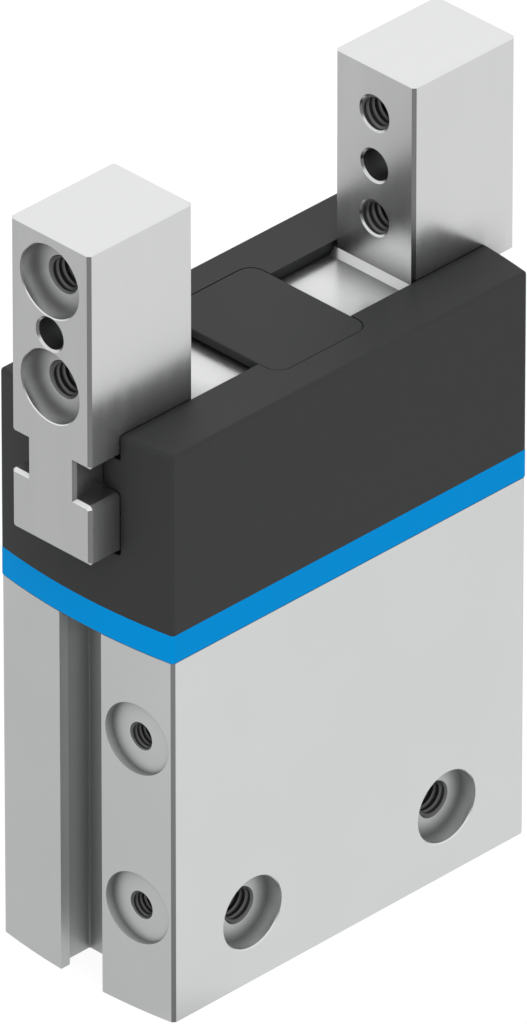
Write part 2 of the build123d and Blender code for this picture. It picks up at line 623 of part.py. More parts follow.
# Rubber bumpers at both ends of the cylinder
bumper_radius = BUMPER_DIAMETER / 2
with BuildPart() as upper_bumper:
    with BuildSketch(Plane.XZ):
        inner = ROD_DIAMETER / 2 + SWING_GAP
        add(ring_section(inner, bumper_radius, bore_top - UPPER_BUMPER_HEIGHT, UPPER_BUMPER_HEIGHT))
    revolve(axis=Axis.Z)
upper_bumper.part.label = "upper_bumper"
export_step(upper_bumper.part, "parts/upper_bumper.step")

with BuildPart() as lower_bumper:
    with BuildSketch(Plane.XZ):
        inner = NUT_ACROSS_FLATS / sqrt(3) + SWING_GAP
        add(ring_section(inner, bumper_radius, end_cap_top, LOWER_BUMPER_HEIGHT))
    revolve(axis=Axis.Z)
lower_bumper.part.label = "lower_bumper"
export_step(lower_bumper.part, "parts/lower_bumper.step")

# End cap with its O-ring and the retaining ring below it
with BuildPart() as end_cap:
    end_cap_radius = bore_radius - RUN_GAP
    groove_floor = bore_radius - END_CAP_GROOVE_DEPTH
    with BuildSketch(Plane.XZ) as end_cap_section:
        add(ring_section(0, end_cap_radius, end_cap_bottom, end_cap_top - end_cap_bottom))
        chamfer(end_cap_section.vertices().group_by(Axis.X)[-1], length=END_CAP_CHAMFER)
        add(
            ring_section(groove_floor, end_cap_radius, end_cap_groove_bottom, END_CAP_GROOVE_WIDTH),
            mode=Mode.SUBTRACT,
        )
    revolve(axis=Axis.Z)
end_cap.part.label = "end_cap"
export_step(end_cap.part, "parts/end_cap.step")

with BuildPart() as end_cap_o_ring:
    section_radius = END_CAP_GROOVE_DEPTH / 2
    with BuildSketch(Plane.XZ):
        with Locations((bore_radius - section_radius, end_cap_groove_bottom + END_CAP_GROOVE_WIDTH / 2)):
            Circle(section_radius)
    revolve(axis=Axis.Z)
end_cap_o_ring.part.label = "end_cap_o_ring"
export_step(end_cap_o_ring.part, "parts/end_cap_o_ring.step")

with BuildPart() as retaining_ring:
    clip_radius = bore_radius + CLIP_GROOVE
    hoop_radius = clip_radius - CLIP_BACK_WIDTH
    lug_x = CLIP_GAP / 2 + CLIP_LUG_RADIUS
    lug_y = -sqrt(hoop_radius**2 - lug_x**2)
    with BuildSketch(Plane.XY.offset(CLIP_DEPTH)):
        Circle(clip_radius)
        Circle(hoop_radius, mode=Mode.SUBTRACT)
        with Locations((-lug_x, lug_y), (lug_x, lug_y)):
            Circle(CLIP_LUG_RADIUS)
            Circle(CLIP_LUG_HOLE / 2, mode=Mode.SUBTRACT)
        with Locations((0, -clip_radius)):
            Rectangle(CLIP_GAP, clip_radius, mode=Mode.SUBTRACT)
    extrude(amount=CLIP_THICKNESS)
retaining_ring.part.label = "retaining_ring"
export_step(retaining_ring.part, "parts/retaining_ring.step")
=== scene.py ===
"""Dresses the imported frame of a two-jaw parallel gripper: its finishes, its screw threads, a camera and a studio."""

from __future__ import annotations

import json
import logging
import math
import sys
from dataclasses import dataclass, field
from enum import Enum
from typing import Any, Mapping, Sequence, Union

import bmesh
import bpy
from mathutils import Matrix, Vector


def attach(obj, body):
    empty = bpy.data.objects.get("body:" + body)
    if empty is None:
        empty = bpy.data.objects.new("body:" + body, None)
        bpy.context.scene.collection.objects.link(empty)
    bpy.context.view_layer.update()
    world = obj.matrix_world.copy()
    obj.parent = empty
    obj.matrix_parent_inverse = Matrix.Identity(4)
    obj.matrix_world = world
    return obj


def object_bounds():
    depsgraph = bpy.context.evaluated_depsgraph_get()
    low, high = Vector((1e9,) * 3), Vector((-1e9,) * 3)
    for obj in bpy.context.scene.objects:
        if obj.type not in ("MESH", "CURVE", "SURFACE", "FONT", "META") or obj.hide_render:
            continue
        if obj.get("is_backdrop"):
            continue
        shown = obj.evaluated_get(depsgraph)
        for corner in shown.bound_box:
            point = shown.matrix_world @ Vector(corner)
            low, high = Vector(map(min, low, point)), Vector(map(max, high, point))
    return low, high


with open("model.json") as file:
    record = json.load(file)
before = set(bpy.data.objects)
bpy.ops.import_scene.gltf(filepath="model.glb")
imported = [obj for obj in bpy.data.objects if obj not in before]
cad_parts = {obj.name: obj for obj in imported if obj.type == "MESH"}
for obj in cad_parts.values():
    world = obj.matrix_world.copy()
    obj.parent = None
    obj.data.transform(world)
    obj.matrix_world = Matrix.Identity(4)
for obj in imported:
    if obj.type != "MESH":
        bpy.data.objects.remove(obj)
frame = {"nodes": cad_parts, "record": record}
CAD_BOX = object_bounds()

MM = 0.001
FULL_TURN = 2.0 * math.pi

# Kinds of sockets, and the places of a Mix node's sockets.
VECTOR = "NodeSocketVector"
VALUE = "NodeSocketFloat"
MIX_SHARE = 0
MIX_VALUES = (2, 3)
MIX_COLOURS = (6, 7)
MIX_COLOUR_OUT = 2

Rgb = tuple[float, float, float]
Feed = Union[float, tuple, bpy.types.NodeSocket]
Span = tuple[Feed, Feed]
log = logging.getLogger("gripper")


class Surface(Enum):
    """The gripper's surfaces. All but the tapped one are named as the record's material slots."""

    ALUMINIUM = "anodised_aluminium"
    BAND = "blue_band"
    CAP = "black_cap"
    GROUND_STEEL = "ground_steel"
    HARD_STEEL = "hardened_steel"
    CHROME = "hard_chrome"
    TURNED = "turned_aluminium"
    RUBBER = "black_rubber"
    MAGNET = "sintered_magnet"
    GUIDE = "guide_plastic"
    BRONZE = "sintered_bronze"
    SPRING_STEEL = "spring_steel"
    # The threads' dark colour is painted shade for the inside of the tapped holes.
    TAPPED = "tapped_metal"


class Effect(Enum):
    """The surface effects that finishes share, each made once as a node group."""

    GRAIN = "fine_grain"
    LINES = "tool_lines"
    # Painted shade: darkens the colour in recesses and on upright chamfers; the own one counts only its own solid.
    SHADE = "recess_shade"
    OWN_SHADE = "own_recess_shade"


class Side(Enum):
    """The two ends of the gripper that carry a jaw."""

    LEFT = "left"
    RIGHT = "right"


class ThreadSize(Enum):
    """The thread sizes, each as its pitch and the chamfer at its mouth, in millimetres."""

    M3 = (0.5, 0.1)
    M4 = (0.7, 0.17)

    @property
    def pitch(self) -> float:
        """The distance from one turn to the next."""
        return self.value[0]

    @property
    def chamfer(self) -> float:
        """The chamfer at the mouth."""
        return self.value[1]

    @classmethod
    def of(cls, wall_radius: float) -> ThreadSize:
        """Tells the thread size from the radius of its hole's wall, in millimetres."""
        widest_m3 = 1.5
        return cls.M4 if wall_radius > widest_m3 else cls.M3


def opaque(colour: Rgb) -> tuple[float, float, float, float]:
    """Returns a colour with full alpha."""
    return (*colour, 1.0)


def put(name: str, data: bpy.types.ID) -> bpy.types.Object:
    """Makes an object and links it to the scene.

    Args:
        name: The object's name.
        data: Its mesh, camera or light.

    Returns:
        The object.
    """
    made = bpy.data.objects.new(name, data)
    bpy.context.scene.collection.objects.link(made)
    return made


def put_mesh(name: str, mesh: bmesh.types.BMesh) -> bpy.types.Object:
    """Turns a finished bmesh into an object and frees it.

    Args:
        name: The object's name.
        mesh: The finished mesh, in metres.

    Returns:
        The object.
    """
    data = bpy.data.meshes.new(name)
    mesh.to_mesh(data)
    mesh.free()
    return put(name, data)


def pour(source: bmesh.types.BMesh, target: bmesh.types.BMesh) -> None:
    """Adds one bmesh to another and frees it.

    Args:
        source: The mesh that is added and freed.
        target: The mesh that takes it.
    """
    carrier = bpy.data.meshes.new("carrier")
    source.to_mesh(carrier)
    source.free()
    target.from_mesh(carrier)
    bpy.data.meshes.remove(carrier)


class Wiring:
    """Adds nodes to one node tree, each already joined to what feeds it."""

    def __init__(self, tree: bpy.types.NodeTree) -> None:
        """Keeps the tree that the nodes go into.

        Args:
            tree: The node tree of a material, a group or the world.
        """
        self.tree = tree

    def add(self, kind: str, feeds: Mapping[Any, Feed] | None = None, **settings: Any) -> bpy.types.Node:
        """Adds one node.

        Args:
            kind: Blender's name of the node's type.
            feeds: What each input gets: another node's socket, or a plain value.
            settings: The node's own settings.

        Returns:
            The new node.
        """
        made = self.tree.nodes.new(kind)
        for name, value in settings.items():
            setattr(made, name, value)
        for key, value in (feeds or {}).items():
            if isinstance(value, bpy.types.NodeSocket):
                self.join(value, made.inputs[key])
            else:
                made.inputs[key].default_value = value
        return made

    def join(self, output: bpy.types.NodeSocket, target: bpy.types.NodeSocket) -> None:
        """Links an output to an input."""
        self.tree.links.new(output, target)

    def maths(self, operation: str, *values: Feed) -> bpy.types.NodeSocket:
        """Adds a Math node.

        Args:
            operation: The node's operation.
            values: Its inputs, in order.

        Returns:
            The socket with the result.
        """
        return self.add("ShaderNodeMath", dict(enumerate(values)), operation=operation).outputs[0]

    def remap(self, value: Feed, old: Span, new: Span) -> bpy.types.NodeSocket:
        """Adds a clamped Map Range node.

        Args:
            value: What is mapped.
            old: The two ends of its range.
            new: What they become.

        Returns:
            The socket with the result.
        """
        return self.add("ShaderNodeMapRange", dict(enumerate((value, *old, *new)))).outputs[0]

    def split(self, vector: Feed) -> bpy.types.NodeOutputs:
        """Splits a vector into its sockets X, Y and Z."""
        return self.add("ShaderNodeSeparateXYZ", {0: vector}).outputs

    def mix(self, share: Feed, first: Feed, second: Feed) -> bpy.types.NodeSocket:
        """Mixes two values.

        Args:
            share: The share of the second.
            first: The first value.
            second: The second value.

        Returns:
            The socket with the result.
        """
        feeds = {MIX_SHARE: share, MIX_VALUES[0]: first, MIX_VALUES[1]: second}
        return self.add("ShaderNodeMix", feeds).outputs[0]

    def mix_colour(self, share: Feed, first: Feed, second: Feed) -> bpy.types.NodeSocket:
        """Mixes two colours.

        Args:
            share: The share of the second.
            first: The first colour.
            second: The second colour.

        Returns:
            The socket with the result.
        """
        feeds = {MIX_SHARE: share, MIX_COLOURS[0]: first, MIX_COLOURS[1]: second}
        return self.add("ShaderNodeMix", feeds, data_type="RGBA").outputs[MIX_COLOUR_OUT]


class EffectShelf:
    """Makes each shared effect's node group once and hands it out."""

    # The output, how closely its noise is packed across the lines, and the noise's detail.
    LINE_LAYERS = (("Height", 1.0, 4.0), ("Tone", 0.12, 5.0))
    LINE_STRETCH = 0.05
    LINE_ROUGHNESS = 0.65
    # The output, the input that scales its noise, and the noise's detail.
    GRAIN_LAYERS = (("Height", "Per mm", 2.0), ("Tone", "Patch", 3.0))
    SKY_SAMPLES = 16
    # The share of open sky where a wall counts in full as inside a narrow hole, and where it no longer does.
    HOLLOW_SKY = (0.14, 0.26)
    # X times Y in a wall's normal, where it starts to count as an upright chamfer darkened by painted shade, and where
    # it does in full.
    UPRIGHT_SLANT = (0.38, 0.46)

    def __init__(self) -> None:
        """Starts with nothing made."""
        self._made: dict[Effect, bpy.types.NodeTree] = {}

    def get(self, effect: Effect) -> bpy.types.NodeTree:
        """Returns an effect's node group, made when it is first asked for.

        Args:
            effect: The effect that a finish needs.

        Returns:
            The node group.
        """
        if effect not in self._made:
            makers = {
                Effect.GRAIN: self._grain,
                Effect.LINES: self._lines,
                Effect.SHADE: self._shade,
                Effect.OWN_SHADE: self._shade,
            }
            self._made[effect] = makers[effect](effect)
        return self._made[effect]

    @staticmethod
    def _group(
        effect: Effect, inputs: Mapping[str, str], outputs: Sequence[str]
    ) -> tuple[Wiring, bpy.types.NodeOutputs, bpy.types.NodeInputs]:
        """Starts a node group whose outputs are values from 0 to 1.

        Args:
            effect: The effect that the group makes.
            inputs: The kind of socket of each named input.
            outputs: The names of the outputs.

        Returns:
            The group's wiring, what comes into the group, and what goes out of it.
        """
        tree = bpy.data.node_groups.new(effect.value, "ShaderNodeTree")
        for label, kind in inputs.items():
            tree.interface.new_socket(label, in_out="INPUT", socket_type=kind)
        for label in outputs:
            tree.interface.new_socket(label, in_out="OUTPUT", socket_type=VALUE)
        wiring = Wiring(tree)
        return wiring, wiring.add("NodeGroupInput").outputs, wiring.add("NodeGroupOutput").inputs

    def _grain(self, effect: Effect) -> bpy.types.NodeTree:
        """Makes the even, fine relief of a blasted, moulded or sintered surface.

        Args:
            effect: The grain.

        Returns:
            The node group.
        """
        wiring, source, result = self._group(
            effect, {"Position": VECTOR, "Per mm": VALUE, "Patch": VALUE}, ("Height", "Tone")
        )
        for label, scale, detail in self.GRAIN_LAYERS:
            feeds = {"Vector": source["Position"], "Scale": source[scale], "Detail": detail}
            wiring.join(wiring.add("ShaderNodeTexNoise", feeds).outputs[0], result[label])
        return wiring.tree

    def _lines(self, effect: Effect) -> bpy.types.NodeTree:
        """Makes the long, fine lines that grinding or turning leaves.

        Args:
            effect: The tool lines.

        Returns:
            The node group.
        """
        wiring, source, result = self._group(
            effect, {"Across": VALUE, "Along": VALUE, "Per mm": VALUE}, ("Height", "Tone")
        )
        across = wiring.maths("MULTIPLY", source["Across"], source["Per mm"])
        along = wiring.maths("MULTIPLY", source["Along"], self.LINE_STRETCH)
        for label, spread, detail in self.LINE_LAYERS:
            place = wiring.add("ShaderNodeCombineXYZ", {0: wiring.maths("MULTIPLY", across, spread), 1: along})
            feeds = {
                "Vector": place.outputs[0],
                "Scale": 1.0,
                "Detail": detail,
                "Roughness": self.LINE_ROUGHNESS,
            }
            noise = wiring.add("ShaderNodeTexNoise", feeds, noise_dimensions="2D")
            wiring.join(noise.outputs[0], result[label])
        return wiring.tree

    def _shade(self, effect: Effect) -> bpy.types.NodeTree:
        """Makes the painted shade that darkens the colour in recesses, from ambient occlusion, and on upright
        chamfers, from their direction.

        Args:
            effect: The shade, or the own shade, which other solids don't add to.

        Returns:
            The node group.
        """
        values = ("Reach", "Deep", "Open", "Recess", "Hollow", "Chamfer")
        wiring, source, result = self._group(
            effect, {"Normal": VECTOR, **dict.fromkeys(values, VALUE)}, ("Shade",)
        )
        # Painted shade: the less open sky around a point, the darker its colour.
        around = wiring.add(
            "ShaderNodeAmbientOcclusion",
            {"Distance": source["Reach"]},
            samples=self.SKY_SAMPLES,
            only_local=effect is Effect.OWN_SHADE,
        )
        sky = around.outputs["AO"]
        recess = wiring.remap(sky, (source["Deep"], source["Open"]), (source["Recess"], 1.0))
        hollow = wiring.remap(sky, self.HOLLOW_SKY, (source["Hollow"], 0.0))
        facing = wiring.split(source["Normal"])
        slant = wiring.maths("ABSOLUTE", wiring.maths("MULTIPLY", facing["X"], facing["Y"]))
        chamfer = wiring.remap(slant, self.UPRIGHT_SLANT, (1.0, source["Chamfer"]))
        shade = wiring.maths("MULTIPLY", wiring.maths("MAXIMUM", recess, hollow), chamfer)
        wiring.join(shade, result["Shade"])
        return wiring.tree


@dataclass(frozen=True)
class PaintedShade:
    """Painted shade: how far the colour is darkened in recesses and on upright chamfers, as the share of the colour
    that is left there.

    Reach is how far off, in millimetres, a wall still shades a point, and deep and open are the shares of open sky
    where the painted shade is full and where it ends. Hollow is the share of the colour that is left at least in
    narrow holes, where the painted shade is thin again. The shade is own where other solids don't add to it.
    """

    recess: float = 0.4
    chamfer: float = 0.3
    reach: float = 4.0
    deep: float = 0.5
    open_sky: float = 0.95
    hollow: float = 0.0
    shade: Effect = Effect.SHADE

    def paint_shade(
        self, wiring: Wiring, shelf: EffectShelf, normal: bpy.types.NodeSocket, colour: bpy.types.NodeSocket
    ) -> bpy.types.NodeSocket:
        """Darkens a colour with painted shade in recesses and on upright chamfers.

        Args:
            wiring: The material's wiring.
            shelf: Where the shared effects come from.
            normal: The surface's direction.
            colour: The colour before the painted shade.

        Returns:
            The socket with the colour darkened by painted shade.
        """
        feeds = {
            "Normal": normal,
            "Reach": self.reach * MM,
            "Deep": self.deep,
            "Open": self.open_sky,
            "Recess": self.recess,
            "Hollow": self.hollow,
            "Chamfer": self.chamfer,
        }
        # Painted shade: ambient occlusion and the chamfers' direction mix the colour toward black.
        painted_shade = wiring.add("ShaderNodeGroup", feeds, node_tree=shelf.get(self.shade))
        black = opaque((0.0, 0.0, 0.0))
        return wiring.mix_colour(painted_shade.outputs["Shade"], black, colour)


@dataclass(frozen=True)
class Finish:
    """A finish whose colour and roughness drift with a tone, over a fine relief.

    The relief is a height in millimetres, and the tone moves the colour from dark to light and the roughness from
    smooth to rough. Tones are the two values of the effect between which it does so.
    """

    dark: Rgb
    light: Rgb
    metallic: float
    smooth: float
    rough: float
    relief: float
    per_mm: float
    painted_shade: PaintedShade | None = None
    gloss: float = 0.5
    tones: tuple[float, float] = (0.3, 0.7)

    def pattern(
        self, wiring: Wiring, shelf: EffectShelf, position: bpy.types.NodeSocket, normal: bpy.types.NodeSocket
    ) -> bpy.types.NodeOutputs:
        """Adds the effect that gives this finish its height and tone.

        Args:
            wiring: The material's wiring.
            shelf: Where the shared effects come from.
            position: The point in millimetres.
            normal: The surface's direction.

        Returns:
            The sockets Height and Tone.
        """
        raise NotImplementedError

    def material(self, name: str, shelf: EffectShelf) -> bpy.types.Material:
        """Makes the finish's material.

        Args:
            name: The material's name.
            shelf: Where the shared effects come from.

        Returns:
            The material.
        """
        made = bpy.data.materials.new(name)
        made.use_nodes = True
        wiring = Wiring(made.node_tree)
        place = wiring.add("ShaderNodeTexCoord").outputs
        per_metre = (1 / MM, 1 / MM, 1 / MM)
        mapping = wiring.add("ShaderNodeMapping", {"Vector": place["Object"], "Scale": per_metre})
        effect = self.pattern(wiring, shelf, mapping.outputs[0], place["Normal"])
        tone = wiring.remap(effect["Tone"], self.tones, (0.0, 1.0))
        base = wiring.mix_colour(tone, opaque(self.dark), opaque(self.light))
        # Painted shade darkens the colour in recesses and on upright chamfers.
        if self.painted_shade:
            base = self.painted_shade.paint_shade(wiring, shelf, place["Normal"], base)
        relief = {"Height": effect["Height"], "Distance": self.relief * MM, "Strength": 1.0}
        shader = made.node_tree.nodes["Principled BSDF"].inputs
        shader["Metallic"].default_value = self.metallic
        shader["Specular IOR Level"].default_value = self.gloss
        wiring.join(base, shader["Base Color"])
        wiring.join(wiring.remap(tone, (0.0, 1.0), (self.smooth, self.rough)), shader["Roughness"])
        wiring.join(wiring.add("ShaderNodeBump", relief).outputs[0], shader["Normal"])
        return made


@dataclass(frozen=True)
class GrainedFinish(Finish):
    """A finish with an even grain: blasted and anodised, moulded, rubbery or sintered.

    Per mm scales the grain, and patch the broad drift of its tone.
    """

    patch: float = 0.08

    def pattern(
        self, wiring: Wiring, shelf: EffectShelf, position: bpy.types.NodeSocket, normal: bpy.types.NodeSocket
    ) -> bpy.types.NodeOutputs:
        """Adds the grain.

        Args:
            wiring: The material's wiring.
            shelf: Where the shared effects come from.
            position: The point in millimetres.
            normal: The surface's direction, which the grain has no use for.

        Returns:
            The sockets Height and Tone.
        """
        feeds = {"Position": position, "Per mm": self.per_mm, "Patch": self.patch}
        return wiring.add("ShaderNodeGroup", feeds, node_tree=shelf.get(Effect.GRAIN)).outputs


@dataclass(frozen=True)
class GroundFinish(Finish):
    """A ground finish: its lines run upright on the sides and along X on level faces.

    A face counts as level where Z in its normal is over level_from, up or down.
    """

    level_from: float = 0.8

    def pattern(
        self, wiring: Wiring, shelf: EffectShelf, position: bpy.types.NodeSocket, normal: bpy.types.NodeSocket
    ) -> bpy.types.NodeOutputs:
        """Adds the grinding lines, turned to suit each face.

        Args:
            wiring: The material's wiring.
            shelf: Where the shared effects come from.
            position: The point in millimetres.
            normal: The surface's direction.

        Returns:
            The sockets Height and Tone.
        """
        upward = wiring.maths("ABSOLUTE", wiring.split(normal)["Z"])
        level = wiring.maths("GREATER_THAN", upward, self.level_from)
        point = wiring.split(position)
        feeds = {
            "Across": wiring.mix(level, wiring.maths("ADD", point["X"], point["Y"]), point["Y"]),
            "Along": wiring.mix(level, point["Z"], point["X"]),
            "Per mm": self.per_mm,
        }
        return wiring.add("ShaderNodeGroup", feeds, node_tree=shelf.get(Effect.LINES)).outputs


@dataclass(frozen=True)
class TurnedFinish(Finish):
    """A turned finish: its lines are rings round the frame's Z axis, which all turned pieces share.

    The rings change slowly along X, by the share that drift gives.
    """

    drift: float = 0.5

    def pattern(
        self, wiring: Wiring, shelf: EffectShelf, position: bpy.types.NodeSocket, normal: bpy.types.NodeSocket
    ) -> bpy.types.NodeOutputs:
        """Adds the rings that a lathe tool leaves.

        Args:
            wiring: The material's wiring.
            shelf: Where the shared effects come from.
            position: The point in millimetres.
            normal: The surface's direction, which the rings have no use for.

        Returns:
            The sockets Height and Tone.
        """
        point = wiring.split(position)
        squares = [wiring.maths("MULTIPLY", point[axis], point[axis]) for axis in "XY"]
        radius = wiring.maths("SQRT", wiring.maths("ADD", *squares))
        feeds = {
            "Across": wiring.maths("ADD", radius, point["Z"]),
            "Along": wiring.maths("MULTIPLY", point["X"], self.drift),
            "Per mm": self.per_mm,
        }
        return wiring.add("ShaderNodeGroup", feeds, node_tree=shelf.get(Effect.LINES)).outputs


FINISHES: dict[Surface, Finish] = {
    Surface.ALUMINIUM: GrainedFinish(
        dark=(0.75, 0.766, 0.758),
        light=(0.77, 0.786, 0.778),
        metallic=0.85,
        smooth=0.3,
        rough=0.36,
        relief=0.0012,
        per_mm=7.0,
        painted_shade=PaintedShade(shade=Effect.OWN_SHADE),
    ),
    Surface.BAND: GrainedFinish(
        dark=(0.0, 0.258, 0.648),
        light=(0.0, 0.266, 0.668),
        metallic=0.0,
        smooth=0.46,
        rough=0.52,
        relief=0.002,
        per_mm=5.0,
        gloss=0.02,
    ),
    Surface.CAP: GrainedFinish(
        dark=(0.0275, 0.029, 0.028),
        light=(0.0305, 0.032, 0.031),
        metallic=0.0,
        smooth=0.44,
        rough=0.52,
        relief=0.003,
        per_mm=5.0,
        painted_shade=PaintedShade(chamfer=1.0, reach=1.2),
        gloss=0.2,
    ),
    Surface.GROUND_STEEL: GroundFinish(
        dark=(0.772, 0.779, 0.776),
        light=(0.784, 0.791, 0.788),
        metallic=0.95,
        smooth=0.22,
        rough=0.27,
        relief=0.003,
        per_mm=4.0,
        painted_shade=PaintedShade(reach=4.5, hollow=0.8),
    ),
    Surface.HARD_STEEL: GroundFinish(
        dark=(0.26, 0.26, 0.265),
        light=(0.34, 0.34, 0.345),
        metallic=1.0,
        smooth=0.3,
        rough=0.42,
        relief=0.002,
        per_mm=6.0,
    ),
    Surface.CHROME: TurnedFinish(
        dark=(0.58, 0.585, 0.59),
        light=(0.66, 0.665, 0.67),
        metallic=1.0,
        smooth=0.1,
        rough=0.16,
        relief=0.0005,
        per_mm=9.0,
    ),
    Surface.TURNED: TurnedFinish(
        dark=(0.6, 0.612, 0.61),
        light=(0.68, 0.69, 0.688),
        metallic=1.0,
        smooth=0.26,
        rough=0.36,
        relief=0.004,
        per_mm=5.0,
    ),
    Surface.RUBBER: GrainedFinish(
        dark=(0.013, 0.013, 0.013),
        light=(0.02, 0.02, 0.02),
        metallic=0.0,
        smooth=0.55,
        rough=0.68,
        relief=0.006,
        per_mm=4.0,
    ),
    Surface.MAGNET: GrainedFinish(
        dark=(0.06, 0.062, 0.066),
        light=(0.09, 0.092, 0.096),
        metallic=0.6,
        smooth=0.5,
        rough=0.62,
        relief=0.012,
        per_mm=6.0,
    ),
    Surface.GUIDE: GrainedFinish(
        dark=(0.62, 0.59, 0.5),
        light=(0.7, 0.67, 0.58),
        metallic=0.0,
        smooth=0.4,
        rough=0.5,
        relief=0.003,
        per_mm=4.0,
    ),
    Surface.BRONZE: GrainedFinish(
        dark=(0.42, 0.27, 0.12),
        light=(0.52, 0.35, 0.17),
        metallic=0.9,
        smooth=0.36,
        rough=0.5,
        relief=0.01,
        per_mm=8.0,
    ),
    Surface.SPRING_STEEL: GroundFinish(
        dark=(0.2, 0.205, 0.21),
        light=(0.28, 0.285, 0.29),
        metallic=1.0,
        smooth=0.34,
        rough=0.46,
        relief=0.003,
        per_mm=4.0,
    ),
    # The threads' dark grey is painted shade for the inside of the holes, and their painted shade darkens the roots
    # further.
    Surface.TAPPED: GrainedFinish(
        dark=(0.12, 0.123, 0.121),
        light=(0.14, 0.143, 0.141),
        metallic=0.7,
        smooth=0.34,
        rough=0.42,
        relief=0.002,
        per_mm=9.0,
        painted_shade=PaintedShade(recess=0.1, chamfer=1.0, reach=0.5, deep=0.45, open_sky=0.92),
    ),
}


class PaintShop:
    """Holds one material for each surface and dresses objects with them."""

    def __init__(self) -> None:
        """Starts with no material made."""
        self._shelf = EffectShelf()
        self._made: dict[Surface, bpy.types.Material] = {}

    def material(self, surface: Surface) -> bpy.types.Material:
        """Returns a surface's material, made when it is first asked for.

        Args:
            surface: The surface to show.

        Returns:
            Its material.
        """
        if surface not in self._made:
            self._made[surface] = FINISHES[surface].material(surface.value, self._shelf)
        return self._made[surface]

    def dress_solid(self, node: str, surface: Surface) -> None:
        """Gives a solid of the frame its material.

        Args:
            node: The solid's name.
            surface: The surface that it shows.
        """
        solid = frame["nodes"][node]
        if not solid.material_slots:
            solid.data.materials.append(None)
        for slot in solid.material_slots:
            slot.material = self.material(surface)
        log.info("%s: %s", node, surface.value)

    def dress_piece(self, piece: bpy.types.Object, surface: Surface) -> None:
        """Gives a new piece its material.

        Args:
            piece: The new piece.
            surface: The surface that it shows.
        """
        piece.data.materials.append(self.material(surface))


